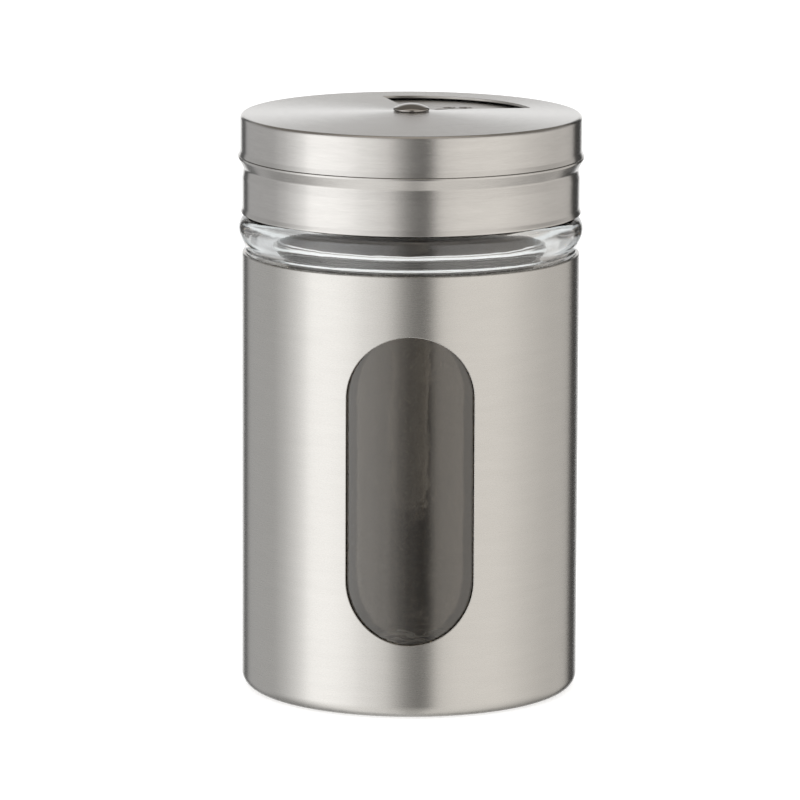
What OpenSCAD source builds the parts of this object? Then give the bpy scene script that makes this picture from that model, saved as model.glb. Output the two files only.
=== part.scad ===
// Spice shaker: a glass jar in a deep-drawn steel sleeve with a window, closed by a screw lid.
// The lid is a steel sifter cap on a plastic thread ring, with a steel dial riveted on top of it.
// Millimetres, +Z up. The origin is the centre of the foot, on the surface that the shaker stands on,
// and the window faces -Y.

/* [Steel sleeve] */
// Outside diameter of the sleeve
sleeve_d = 50.4; // [46:0.2:60]
// Height of the sleeve's top rim above the table
sleeve_h = 66.1; // [60:0.1:110]
// Thickness of all the steel sheet
sheet_t = 0.4; // [0.3:0.05:0.5]
// Outside radius of the sleeve's bottom corner
foot_r = 2; // [1:0.1:3]
// Outside radius of the rolled top rim
rim_r = 0.6; // [0.5:0.05:0.7]
// Width of the flat foot round the raised panel in the underside, with the bottom corner
foot_w = 7.9; // [7:0.1:12]
// Height of the raised panel above the table
panel_h = 0.8; // [0.4:0.1:1]

/* [Window] */
// Width of the window, and the diameter of its round ends
window_w = 18.8; // [8:0.2:24]
// Height of the window
window_h = 46; // [28:0.2:48]
// Height of the window's lower end above the table
window_z = 11.1; // [6:0.1:14]

/* [Glass jar] */
// Gap all round between the glass and the sleeve
glass_gap = 0.6; // [0.4:0.05:0.8]
// Wall thickness of the glass body
glass_wall = 2.5; // [1.6:0.1:3]
// Thickness of the glass floor at its bearing ring
glass_floor = 2.8; // [2:0.1:6]
// Outside radius of the heel, where the glass floor turns up into the wall
heel_r = 3; // [2:0.1:3.4]
// Inside radius between the glass floor and the wall
floor_corner_r = 2.5; // [1:0.1:6]
// Height of the hollow under the glass floor
punt_h = 0.9; // [0.3:0.1:1.2]
// Width of the flat ring that the glass stands on
bearing_w = 3.2; // [2:0.1:5]
// How far the glass bead stands proud of the sleeve
bead_proud = 0.5; // [0.3:0.05:1]
// Height of the bead's widest circle above the sleeve's rim
bead_rise = 3.55; // [3.45:0.05:3.8]
// Radius of the bead's outline above its widest circle, up to its flat shoulder
bead_top_r = 2.2; // [1.8:0.1:2.4]
// Radius of the bead's outline below its widest circle
bead_low_r = 3.6; // [3.2:0.1:4]
// How far the waist under the bead is set in from the sleeve's outside
waist_in = 0.35; // [0.2:0.05:0.6]
// Radius of the hollow outline at the waist
waist_r = 1.8; // [1:0.1:2.4]
// Height over which the glass narrows from the waist to the body
waist_h = 1; // [0.8:0.1:2]
// How far below the bead's widest circle the straight bore of the neck ends
bore_drop = 0.65; // [0:0.05:2]
// Height over which the bore then swells out to the body's inner wall
bore_swell_h = 5.5; // [3:0.1:9]
// Wall thickness of the neck
neck_wall = 1.5; // [1.4:0.1:3]
// Height of the neck above the bead's flat shoulder
neck_h = 11.95; // [11.4:0.05:16]
// Radius of the rounded lip at the mouth
lip_r = 0.6; // [0.4:0.05:0.7]
// Radius of the hollow corner between the neck and the bead's shoulder
neck_root_r = 0.8; // [0.4:0.1:1]

/* [Thread] */
// Rise of the lid for one full turn
pitch = 4.2; // [3.6:0.1:4.4]
// Turns of thread on the glass, and in the ring
thread_turns = 1.5; // [1:0.25:1.5]
// Height of the thread's start above the bead's flat shoulder
thread_z = 3.15; // [2.95:0.05:3.35]
// How far each thread stands out of its wall
thread_depth = 1.1; // [0.7:0.05:1.2]
// Width of the glass thread at its root
thread_root_w = 1.8; // [1.4:0.1:2]
// Width of each thread at its crest
thread_crest_w = 0.9; // [0.6:0.1:1]
// Radial clearance from a thread's crest to the facing wall
thread_gap = 0.4; // [0.3:0.05:0.5]

/* [Thread ring and seal] */
// Plastic between the steel cap and the ring's bore
ring_wall = 0.75; // [0.6:0.05:1.2]
// Height of the ring's lower edge above the bead's flat shoulder
ring_lift = 1.15; // [0.95:0.05:1.35]
// How far the flange reaches inside the mouth
flange_lip = 0.6; // [0.4:0.1:1.5]
// Thickness of the flange that backs the seal
flange_t = 1; // [0.8:0.1:2]
// Width of the thread ring's root on the plastic
ring_root_w = 1.4; // [1:0.1:1.6]
// Clearance between the thread ring and the steel cap
ring_gap = 0.05; // [0.02:0.01:0.1]
// Thickness of the seal
seal_t = 0.9; // [0.6:0.1:2]
// How far the seal reaches past the neck's wall on either side
seal_over = 0.3; // [0:0.05:0.4]
// Clearance above and below the seal
seal_gap = 0.05; // [0.02:0.01:0.1]

/* [Sifter cap] */
// How far the cap's skirt is set in from the dial's skirt
skirt_in = 0.3; // [0.2:0.05:0.4]
// Height of the skirt's lower edge above the bead's flat shoulder
skirt_lift = 0.15; // [0.1:0.05:0.4]
// Height of the skirt's straight wall
skirt_h = 6.3; // [5.6:0.1:6.8]
// Height of the groove's deepest circle above the straight wall
groove_rise = 0.45; // [0.4:0.05:0.6]
// Depth of the groove above the skirt
groove_depth = 0.45; // [0.2:0.05:0.5]
// Height of the ledge above the groove's deepest circle
ledge_rise = 1.85; // [1.6:0.05:2.1]
// How far the ledge above the groove stands proud of the skirt
ledge_proud = 0.65; // [0.4:0.05:0.7]
// Outside radius of the bend between the cap's upper wall and its plate
cap_corner_r = 1; // [0.7:0.1:1.4]
// Gap between the cap's upper wall and the dial's skirt
step_gap = 0.5; // [0.4:0.05:0.7]
// Radius of the hem at the skirt's lower edge
skirt_hem_r = 0.25; // [0.2:0.01:0.3]

/* [Sifter holes] */
// Diameter of the fine holes
fine_d = 1.9; // [1:0.1:2.2]
// Spacing of the fine holes
fine_pitch = 2.4; // [2.2:0.1:3]
// Diameter of the coarse holes
coarse_d = 3.6; // [2.6:0.1:4]
// Spacing of the coarse holes
coarse_pitch = 5; // [4.4:0.1:5.4]
// How far each group of holes sits inside the middle of the dial's opening
holes_in = 0.2; // [0:0.1:1]
// Angle that the dial stands past the middle of the fine holes
holes_lag = 10; // [0:1:14]
// Inner radius of the pouring hole
pour_r_in = 5.5; // [5:0.1:7]
// How far the pouring hole's outer edge is set in from the dial's opening
pour_in = 1.5; // [0.5:0.1:4]
// Angle that the pouring hole spans
pour_angle = 66; // [40:1:80]

/* [Dial] */
// How far the dial's skirt stands proud of the sleeve
dial_proud = 0.3; // [0:0.05:1]
// Height of the dial's crown at its centre above its rim
crown_h = 0.45; // [0.3:0.05:0.6]
// Outside radius of the dial's top corner
dial_corner_r = 0.7; // [0.5:0.05:0.9]
// Radius of the hem at the dial's lower edge
dial_hem_r = 0.3; // [0.25:0.01:0.36]
// Gap between the dial's hem and the sifter cap's ledge
dial_gap = 0.15; // [0.12:0.01:0.3]
// Inner radius of the dial's opening
opening_r_in = 3.4; // [3.2:0.1:5]
// Width of the dial's top between its opening and its skirt
opening_margin = 6.9; // [6.5:0.1:9]
// Angle that the dial's opening spans
opening_angle = 87; // [70:1:88]
// Direction of the opening's middle, counter-clockwise from +X
opening_dir = 60; // [0:1:90]

/* [Rivet and washers] */
// Diameter of the rivet's shank
rivet_d = 3; // [2.4:0.1:3.2]
// Diameter of the rivet's head
rivet_head_d = 5.4; // [4.8:0.1:6]
// Height of the straight edge of the rivet's head
rivet_edge_h = 0.35; // [0.2:0.05:0.5]
// Height of the dome above that edge
rivet_dome_h = 0.7; // [0.4:0.05:0.9]
// Running clearance round the shank
rivet_gap = 0.05; // [0.03:0.01:0.08]
// Clearance between the dial and the parts that it turns against
turn_gap = 0.05; // [0.03:0.01:0.08]
// Diameter of the spread tail
tail_d = 4.6; // [4.2:0.1:5]
// Height of the spread tail
tail_h = 0.8; // [0.5:0.1:1]
// Outside diameter of the washer under the tail
tail_washer_d = 7; // [6:0.1:8]
// Thickness of the washer under the tail
tail_washer_t = 0.5; // [0.4:0.1:0.8]
// Outside diameter of the spring washer
spring_washer_d = 6; // [5.4:0.1:6.2]
// Sheet thickness of the spring washer
spring_washer_t = 0.2; // [0.15:0.01:0.25]
// Height of the spring washer from edge to edge
spring_washer_h = 0.45; // [0.4:0.01:0.6]

/* [Foam ring] */
// Thickness of the foam ring under the glass
foam_t = 0.8; // [0.6:0.1:2]

/* [Hidden] */
$fn = 96;
eps = 0.01;          // overlap that keeps a cut clear of the face it opens, and least spacing of points
arc_steps = 8;       // chords in a quarter round of a turned outline
bead_steps = 14;     // chords in each curve of the glass bead's outline
bore_steps = 14;     // chords in the curve from the body's inner wall to the neck's bore
thread_steps = 48;   // sections of thread in one turn
thread_sink = 0.4;   // how far a thread's root is sunk into its wall
fade_angle = 40;     // turn over which a thread runs out at each end
ring_start = 90;     // angle at which the ring's thread starts, clear of its lower edge
bend_r = 0.3;        // outside radius of the bends above the cap's skirt
bend_lean = 34;      // lean of the sheet between those bends, from upright

// Radii, from the outside in
sleeve_r = sleeve_d / 2;
body_r = sleeve_r - sheet_t - glass_gap;
cavity_r = body_r - glass_wall;
bead_out_r = sleeve_r + bead_proud;
dial_r = sleeve_r + dial_proud;
skirt_r = dial_r - skirt_in;
upper_r = dial_r - sheet_t - step_gap;
ring_upper_r = upper_r - sheet_t - ring_gap;
ring_bore_r = ring_upper_r - ring_wall;
neck_r = ring_bore_r - thread_gap - thread_depth;
mouth_r = neck_r - neck_wall;
opening_r_out = dial_r - opening_margin;
pour_r_out = opening_r_out - pour_in;
holes_r = (opening_r_in + opening_r_out) / 2 - holes_in;
holes_dir = opening_dir - holes_lag;

// Heights, from the table up
glass_z = sheet_t + foam_t;
floor_z = glass_z + glass_floor;
bead_z = sleeve_h + bead_rise;
shoulder_z = bead_z + bead_top_r;
neck_top = shoulder_z + neck_h;
seal_z = neck_top + seal_gap;
flange_z = seal_z + seal_t + seal_gap;
plate_under = flange_z + flange_t;
plate_top = plate_under + sheet_t;
skirt_z = shoulder_z + skirt_lift;
groove_z = skirt_z + skirt_h + groove_rise;
ledge_z = groove_z + ledge_rise;
dial_z = ledge_z + dial_gap;
dial_under = plate_top + spring_washer_h + 2 * turn_gap;
dial_top = dial_under + sheet_t;
rim_z = dial_top - crown_h;
head_z = dial_top + turn_gap;

// Points of an arc round (cr, cz), from angle a0 to a1, in the plane of a turned outline
function arc(cr, cz, r, a0, a1, n = arc_steps) =
    [for (i = [0 : n]) let (a = a0 + (a1 - a0) * i / n) [cr + r * cos(a), cz + r * sin(a)]];

// Points of a curve that leaves (r0, z0) and reaches (r1, z1) straight up
function swell(r0, z0, r1, z1, n) =
    [for (i = [0 : n]) [r0 + (r1 - r0) * (1 - cos(180 * i / n)) / 2, z0 + (z1 - z0) * i / n]];

// Same points, last one first
function reversed(points) = [for (i = [len(points) - 1 : -1 : 0]) points[i]];

// Same points, without the repeats where two curves meet
function single(points) =
    [for (i = [0 : len(points) - 1]) if (i == 0 || norm(points[i] - points[max(0, i - 1)]) > eps) points[i]];

// Turned solid from an outline of [radius, height] points
module turned(points) {
    rotate_extrude() polygon(single(points));
}

// Part of a flat ring between two radii, about a direction, as a 2D shape
module ring_sector(r_in, r_out, angle, dir) {
    far = 2 * r_out;
    intersection() {
        difference() {
            circle(r_out);
            circle(r_in);
        }
        polygon([[0, 0],
                 for (k = [-1 : 1]) [far * cos(dir + k * angle / 2), far * sin(dir + k * angle / 2)]]);
    }
}

// Right-hand thread between radius ra (width wa) and radius rb (width wb), where ra < rb.
// It starts at angle a0 and height z0, and its crest sinks to its root at both ends.
module thread(ra, wa, rb, wb, crest_out, z0, a0) {
    n = round(thread_steps * thread_turns);
    step = 360 * thread_turns / n;
    function height(i) = min(1, 0.1 + 0.9 * min(i, n - i) * step / fade_angle);
    function section(i) =
        let (k = height(i), z = z0 + pitch * i * step / 360,
             inner = crest_out ? ra : rb + (ra - rb) * k,
             outer = crest_out ? ra + (rb - ra) * k : rb)
        [[inner, z - wa / 2], [outer, z - wb / 2], [outer, z + wb / 2], [inner, z + wa / 2]];
    points = [for (i = [0 : n]) let (a = a0 + i * step) for (p = section(i))
              [p[0] * cos(a), p[0] * sin(a), p[1]]];
    sides = [for (i = [0 : n - 1], j = [0 : 3])
             let (a = 4 * i + j, b = 4 * i + (j + 1) % 4) each [[a, b, b + 4], [a, b + 4, a + 4]]];
    ends = [[3, 2, 1], [3, 1, 0], [4 * n, 4 * n + 1, 4 * n + 2], [4 * n, 4 * n + 2, 4 * n + 3]];
    polyhedron(points, concat(sides, ends));
}

// Deep-drawn cup with a round-ended window, a rolled-in top rim and a raised panel underneath
module steel_sleeve() {
    panel_r = sleeve_r - foot_w - panel_h;
    bend = sheet_t * tan(22.5);
    rim_c = sleeve_r - rim_r;
    foot_c = sleeve_r - foot_r;
    outside = concat([[0, panel_h], [panel_r, panel_h], [panel_r + panel_h, 0]],
                     arc(foot_c, foot_r, foot_r, -90, 0),
                     arc(rim_c, sleeve_h - rim_r, rim_r, 0, 90));
    inside = concat([[0, panel_h + sheet_t], [panel_r + bend, panel_h + sheet_t],
                     [panel_r + panel_h + bend, sheet_t]],
                    arc(foot_c, foot_r, foot_r - sheet_t, -90, 0),
                    arc(rim_c, sleeve_h - rim_r, rim_r - sheet_t, 0, 90));
    color("silver") difference() {
        turned(concat(outside, reversed(inside)));
        translate([0, 0, window_z + window_w / 2]) rotate([90, 0, 0])
            linear_extrude(sleeve_d) {
                end_gap = window_h - window_w;
                circle(d = window_w);
                translate([-window_w / 2, 0]) square([window_w, end_gap]);
                translate([0, end_gap]) circle(d = window_w);
            }
    }
}

// Foam ring that carries the glass on the sleeve's floor
module foam_ring() {
    inner = sleeve_r - foot_w + sheet_t;
    outer = body_r - heel_r + sheet_t;
    color("white") turned([[inner, sheet_t], [outer, sheet_t], [outer, glass_z], [inner, glass_z]]);
}

// Jar with a bead over the sleeve's rim, a threaded neck and a rounded lip
module glass_jar() {
    low_c = bead_out_r - bead_low_r;
    waist_c = sleeve_r - waist_in + waist_r;
    bead_low = acos((waist_c - low_c) / (bead_low_r + waist_r));
    waist_z = bead_z - (bead_low_r + waist_r) * sin(bead_low);
    bore_z = bead_z - bore_drop;
    punt_r = body_r - heel_r - bearing_w;
    dome_r = (punt_r * punt_r + punt_h * punt_h) / (2 * punt_h);
    dome_a = asin(punt_r / dome_r);
    outside = concat(arc(0, glass_z + punt_h - dome_r, dome_r, 90, 90 - dome_a),
                     arc(body_r - heel_r, glass_z + heel_r, heel_r, -90, 0),
                     swell(body_r, waist_z - waist_h, waist_c - waist_r, waist_z, bead_steps),
                     arc(waist_c, waist_z, waist_r, 180, 180 - bead_low),
                     arc(low_c, bead_z, bead_low_r, -bead_low, 0, bead_steps),
                     arc(bead_out_r - bead_top_r, bead_z, bead_top_r, 0, 90, bead_steps),
                     arc(neck_r + neck_root_r, shoulder_z + neck_root_r, neck_root_r, 270, 180),
                     arc(neck_r - lip_r, neck_top - lip_r, lip_r, 0, 90));
    inside = concat([[0, floor_z]],
                    arc(cavity_r - floor_corner_r, floor_z + floor_corner_r, floor_corner_r, -90, 0),
                    swell(cavity_r, bore_z - bore_swell_h, mouth_r, bore_z, bore_steps),
                    arc(mouth_r + lip_r, neck_top - lip_r, lip_r, 180, 90));
    color([0.8, 0.88, 0.86, 0.4]) union() {
        turned(concat(outside, reversed(inside)));
        thread(neck_r - thread_sink, thread_root_w, neck_r + thread_depth, thread_crest_w, true,
               shoulder_z + thread_z, 0);
    }
}

// Soft ring that the lid presses on the glass lip
module lid_seal() {
    outer = neck_r + seal_over;
    inner = mouth_r - seal_over;
    color("whitesmoke") turned([[inner, seal_z], [outer, seal_z],
                                [outer, seal_z + seal_t], [inner, seal_z + seal_t]]);
}

// Plastic ring with the inside thread and the flange over the seal, pressed into the steel cap
module thread_ring() {
    lower_r = skirt_r - groove_depth - sheet_t - ring_gap;
    bottom = shoulder_z + ring_lift;
    step_z = groove_z - sheet_t;
    cut = cap_corner_r;
    flange_r = mouth_r - flange_lip;
    color("ivory") union() {
        turned([[ring_bore_r, bottom], [lower_r, bottom], [lower_r, step_z], [ring_upper_r, step_z],
                [ring_upper_r, plate_under - cut], [ring_upper_r - cut, plate_under],
                [flange_r, plate_under], [flange_r, flange_z], [ring_bore_r, flange_z]]);
        thread(ring_bore_r - thread_depth, thread_crest_w, ring_bore_r + thread_sink, ring_root_w, false,
               shoulder_z + thread_z - pitch / 2 + pitch * ring_start / 360, ring_start);
    }
}

// Hole that takes the rivet's shank
module rivet_hole() {
    translate([0, 0, plate_under - sheet_t]) cylinder(h = 4 * sheet_t + spring_washer_h + crown_h,
                                                      r = rivet_d / 2 + rivet_gap);
}

// Lower steel cap: skirt, groove, ledge under the dial, and a plate with three ways out
module sifter_cap() {
    ledge_r = skirt_r + ledge_proud;
    groove_r = skirt_r - groove_depth;
    outside = concat([[skirt_r, skirt_z + skirt_hem_r], [skirt_r, skirt_z + skirt_h]],
                     arc(groove_r + bend_r, groove_z, bend_r, 180 + bend_lean, 180 - bend_lean),
                     arc(ledge_r - bend_r, ledge_z - bend_r, bend_r, -bend_lean, 90),
                     [[upper_r, ledge_z]],
                     arc(upper_r - cap_corner_r, plate_top - cap_corner_r, cap_corner_r, 0, 90),
                     [[0, plate_top]]);
    inside = concat([[skirt_r - sheet_t, skirt_z + skirt_hem_r],
                     [skirt_r - sheet_t, skirt_z + skirt_h - sheet_t / 2],
                     [groove_r - sheet_t, groove_z], [ledge_r - 1.5 * sheet_t, ledge_z - sheet_t],
                     [upper_r - sheet_t, ledge_z - sheet_t]],
                    arc(upper_r - cap_corner_r, plate_top - cap_corner_r, cap_corner_r - sheet_t, 0, 90),
                    [[0, plate_under]]);
    color("silver") difference() {
        union() {
            turned(concat(outside, reversed(inside)));
            rotate_extrude() translate([skirt_r, skirt_z + skirt_hem_r]) circle(skirt_hem_r);
        }
        rivet_hole();
        translate([0, 0, plate_under - sheet_t]) linear_extrude(3 * sheet_t) {
            rotate(holes_dir) translate([holes_r, 0]) fine_holes();
            rotate(holes_dir + 90) translate([holes_r, 0]) coarse_holes();
            ring_sector(pour_r_in, pour_r_out, pour_angle, holes_dir + 180);
        }
    }
}

// One fine hole with six round it
module fine_holes() {
    circle(d = fine_d);
    for (a = [10 : 60 : 310]) rotate(a) translate([fine_pitch, 0]) circle(d = fine_d);
}

// Three coarse holes in a triangle
module coarse_holes() {
    for (a = [0 : 120 : 240]) rotate(a) translate([coarse_pitch / sqrt(3), 0]) circle(d = coarse_d);
}

// Coned washer that keeps the dial tight against the rivet's head
module spring_washer() {
    inner = rivet_d / 2 + 4 * rivet_gap;
    outer = spring_washer_d / 2;
    low = plate_top + turn_gap;
    rise = spring_washer_h - spring_washer_t;
    color("gray") turned([[outer, low], [outer, low + spring_washer_t],
                          [inner, low + rise + spring_washer_t], [inner, low + rise]]);
}

// Upper steel cap: crowned top with the opening, and a skirt with a hem at its lower edge
module dial_cap() {
    crown_r = (dial_r * dial_r + crown_h * crown_h) / (2 * crown_h);
    corner_c = dial_r - dial_corner_r;
    corner_z = dial_top - crown_r + sqrt(pow(crown_r - dial_corner_r, 2) - pow(corner_c, 2));
    tilt = asin(corner_c / (crown_r - dial_corner_r));
    hem_z = dial_z + dial_hem_r;
    outside = concat([[dial_r, hem_z]],
                     arc(corner_c, corner_z, dial_corner_r, 0, 90 - tilt),
                     reversed(arc(0, dial_top - crown_r, crown_r, 90, 90 - tilt)));
    inside = concat([[dial_r - sheet_t, hem_z]],
                    arc(corner_c, corner_z, dial_corner_r - sheet_t, 0, 90 - tilt),
                    reversed(arc(0, dial_top - crown_r, crown_r - sheet_t, 90, 90 - tilt)));
    color("silver") difference() {
        union() {
            turned(concat(outside, reversed(inside)));
            rotate_extrude() translate([dial_r, hem_z]) circle(dial_hem_r);
        }
        rivet_hole();
        translate([0, 0, plate_top]) linear_extrude(dial_top - plate_top + eps)
            ring_sector(opening_r_in, opening_r_out, opening_angle, opening_dir);
    }
}

// Rivet with a domed head over the dial and a spread tail under the tail washer
module rivet() {
    head_r = rivet_head_d / 2;
    tail_r = tail_d / 2;
    shank_r = rivet_d / 2;
    bore_r = shank_r / 2;
    dome_z = head_z + rivet_edge_h;
    dome_r = (head_r * head_r + rivet_dome_h * rivet_dome_h) / (2 * rivet_dome_h);
    dome_a = asin(head_r / dome_r);
    tail_z = plate_under - tail_washer_t;
    color("gainsboro")
        turned(concat([[0, tail_z], [bore_r, tail_z], [bore_r, tail_z - tail_h / 2]],
                      [[bore_r + tail_h / 4, tail_z - tail_h], [tail_r - tail_h / 2, tail_z - tail_h]],
                      arc(tail_r - tail_h / 2, tail_z - tail_h / 2, tail_h / 2, -60, 60),
                      [[shank_r, tail_z], [shank_r, head_z], [head_r, head_z]],
                      arc(0, dome_z + rivet_dome_h - dome_r, dome_r, 90 - dome_a, 90)));
}

// Flat washer that the rivet's tail is spread against
module tail_washer() {
    inner = rivet_d / 2 + rivet_gap;
    outer = tail_washer_d / 2;
    color("gray") turned([[inner, plate_under - tail_washer_t], [outer, plate_under - tail_washer_t],
                          [outer, plate_under], [inner, plate_under]]);
}

steel_sleeve();
foam_ring();
glass_jar();
lid_seal();
thread_ring();
sifter_cap();
spring_washer();
dial_cap();
rivet();
tail_washer();
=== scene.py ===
import math

import bpy
import numpy as np
from mathutils import Matrix, geometry

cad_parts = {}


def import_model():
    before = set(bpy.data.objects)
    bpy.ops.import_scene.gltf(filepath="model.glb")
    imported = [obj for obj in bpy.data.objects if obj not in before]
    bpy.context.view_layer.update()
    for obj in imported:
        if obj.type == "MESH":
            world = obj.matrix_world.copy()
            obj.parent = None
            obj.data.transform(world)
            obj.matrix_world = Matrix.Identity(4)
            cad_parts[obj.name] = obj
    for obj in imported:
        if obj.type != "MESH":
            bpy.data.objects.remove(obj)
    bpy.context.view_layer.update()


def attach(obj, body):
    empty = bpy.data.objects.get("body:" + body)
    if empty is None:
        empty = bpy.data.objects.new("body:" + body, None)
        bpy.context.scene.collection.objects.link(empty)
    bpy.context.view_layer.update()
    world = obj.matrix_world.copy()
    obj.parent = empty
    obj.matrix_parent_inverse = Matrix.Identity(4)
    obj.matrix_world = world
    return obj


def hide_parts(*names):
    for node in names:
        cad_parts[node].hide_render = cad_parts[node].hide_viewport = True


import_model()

# Blender's part of the spice shaker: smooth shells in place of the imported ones, materials, a small studio and the
# camera. Sizes are in millimetres until a mesh is made. They are those of the CAD model, but for the outside of the
# glass body (24.2 there), the top of the foam ring (1.2 there), and the softer groove and hems of the two caps.

MM = 0.001
TURNED, MOULDED, SMALL = 360, 320, 128         # columns round the axis: steel shells, glass and thread, small parts
QUARTER = np.radians((0, 22.5, 45, 67.5, 90))  # angles of a softened edge

# Steel sheet, and the sleeve with its raised panel and its window. The patch of wall round the window has rows
# between two heights, and columns over 34 degrees on each side of -Y.
SHEET = 0.4
SLEEVE_R, SLEEVE_H = 25.2, 66.1
PANEL_R, PANEL_H = 16.5, 0.8
WINDOW_W, WINDOW_H, WINDOW_Z, WINDOW_EDGE = 18.8, 46.0, 11.1, 0.13
PATCH_LOW, PATCH_HIGH, PATCH_ROWS, PATCH_COLUMNS = 7.0, 62.0, 44, (236, 304)

# Glass jar: its walls, the bead and the waist under it, its heights, and the hollow and the heel underneath
BODY_R, CAVITY_R, NECK_R, MOUTH_R, LIP_R = 24.6, 21.7, 21.9, 20.4, 0.6
BEAD_OUT, BEAD_Z, BEAD_TOP, BEAD_LOW = 25.7, 69.65, 2.2, 3.6
WAIST_R, WAIST_BEND, WAIST_H, BORE_DROP, BORE_SWELL = 24.85, 1.8, 1.0, 0.65, 5.5
GLASS_Z, FLOOR_Z, FLOOR_CORNER, SHOULDER_Z, NECK_TOP = 1.2, 4.0, 2.5, 71.85, 83.8
PUNT_R, PUNT_H, HEEL_R = 18.0, 0.9, 3.0

# Thread, which runs out over some degrees at each end, and the rings
PITCH, TURNS, THREAD_Z, THREAD_DEPTH, RUN_OUT = 4.2, 1.5, 75.0, 1.1, 40.0
RING_LOW, RING_BORE, RING_UPPER, RING_LOWER, FLANGE_R, FLANGE_Z = 73.0, 23.4, 24.15, 24.3, 19.8, 84.8
FOAM_IN, FOAM_OUT, FOAM_TOP = 17.7, 21.6, 1.17
SEAL_IN, SEAL_OUT, SEAL_Z, SEAL_T = 20.1, 22.2, 83.85, 0.9

# Sifter cap with its plate, and its fine, coarse and pouring holes
SKIRT_R, SKIRT_Z, UPPER_R, GROOVE_R, GROOVE_Z, LEDGE_R, LEDGE_Z = 25.2, 72.0, 24.6, 24.75, 78.75, 25.85, 80.6
PLATE_UNDER, PLATE_TOP = 85.8, 86.2
FINE_D, FINE_PITCH, COARSE_D, COARSE_PITCH, HOLES_R, HOLES_DIR = 1.9, 2.4, 3.6, 5.0, 10.8, 50.0
POUR_IN, POUR_OUT, POUR_ANGLE = 5.5, 17.1, 66.0

# Dial with its opening, the rivet and the two washers
DIAL_R, DIAL_Z, DIAL_TOP, CROWN = 25.5, 80.75, 87.15, 0.45
OPEN_IN, OPEN_OUT, OPEN_ANGLE, OPEN_DIR = 3.4, 18.6, 87.0, 60.0
HOLE_R, SHANK_R, HEAD_R, HEAD_Z, EDGE_H, DOME_H = 1.55, 1.5, 2.7, 87.2, 0.35, 0.7
CONE_IN, CONE_OUT, CONE_Z, CONE_RISE, CONE_T = 1.7, 3.0, 86.25, 0.25, 0.2
TAIL_IN, TAIL_OUT, TAIL_Z = 1.55, 3.5, 85.3


# ---------------------------------------------------------------------------------------------------------------
# Outlines: lists of (radius, height, normal's radius, normal's height), with the solid on the left of the path
# ---------------------------------------------------------------------------------------------------------------

def outline(corners, step=9.0):
    """Path through corners given as (r, z) or (r, z, rounding). step is the angle of one chord of a rounding."""
    out = []
    last = len(corners) - 1
    for i, corner in enumerate(corners):
        p = np.array(corner[:2], dtype=float)
        before = p - np.array(corners[i - 1][:2]) if i else None
        after = np.array(corners[i + 1][:2]) - p if i < last else None
        u = before / np.linalg.norm(before) if i else after / np.linalg.norm(after)
        v = after / np.linalg.norm(after) if i < last else u
        rounding = corner[2] if len(corner) > 2 else 0.0
        turn = math.atan2(u[0] * v[1] - u[1] * v[0], float(u @ v))
        if rounding <= 0.0 or abs(turn) < 1e-6:
            out.append((p[0], p[1], u[1], -u[0]))
            if abs(turn) > 1e-6:
                out.append((p[0], p[1], v[1], -v[0]))
            continue
        side = math.copysign(1.0, turn)
        centre = p - u * rounding * math.tan(abs(turn) / 2) + side * rounding * np.array([-u[1], u[0]])
        chords = max(2, math.ceil(math.degrees(abs(turn)) / step))
        for k in range(chords + 1):
            c, s = math.cos(turn * k / chords), math.sin(turn * k / chords)
            n = np.array([u[1] * c + u[0] * s, u[1] * s - u[0] * c])
            q = centre + side * rounding * n
            out.append((q[0], q[1], n[0], n[1]))
    return out


def arc(cr, cz, radius, a0, a1, step=4.0, side=1.0):
    """Arc from angle a0 to a1 in degrees. side is -1 where the solid is outside the circle."""
    n = max(2, math.ceil(abs(a1 - a0) / step))
    turn = [math.radians(a0 + (a1 - a0) * k / n) for k in range(n + 1)]
    return [(cr + radius * math.cos(a), cz + radius * math.sin(a), side * math.cos(a), side * math.sin(a))
            for a in turn]


def blend(a, b, count):
    """Curve between two points of a path, square to both their normals, without its two ends."""
    p0, p1 = np.array(a[:2]), np.array(b[:2])
    span = np.linalg.norm(p1 - p0)
    t0, t1 = np.array([-a[3], a[2]]) * span, np.array([-b[3], b[2]]) * span
    out = []
    for k in range(1, count):
        t = k / count
        p = ((2 * t ** 3 - 3 * t ** 2 + 1) * p0 + (t ** 3 - 2 * t ** 2 + t) * t0
             + (3 * t ** 2 - 2 * t ** 3) * p1 + (t ** 3 - t ** 2) * t1)
        d = ((6 * t ** 2 - 6 * t) * (p0 - p1) + (3 * t ** 2 - 4 * t + 1) * t0 + (3 * t ** 2 - 2 * t) * t1)
        d /= np.linalg.norm(d)
        out.append((p[0], p[1], d[1], -d[0]))
    return out


# ---------------------------------------------------------------------------------------------------------------
# Shells: meshes with their exact normals
# ---------------------------------------------------------------------------------------------------------------

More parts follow.
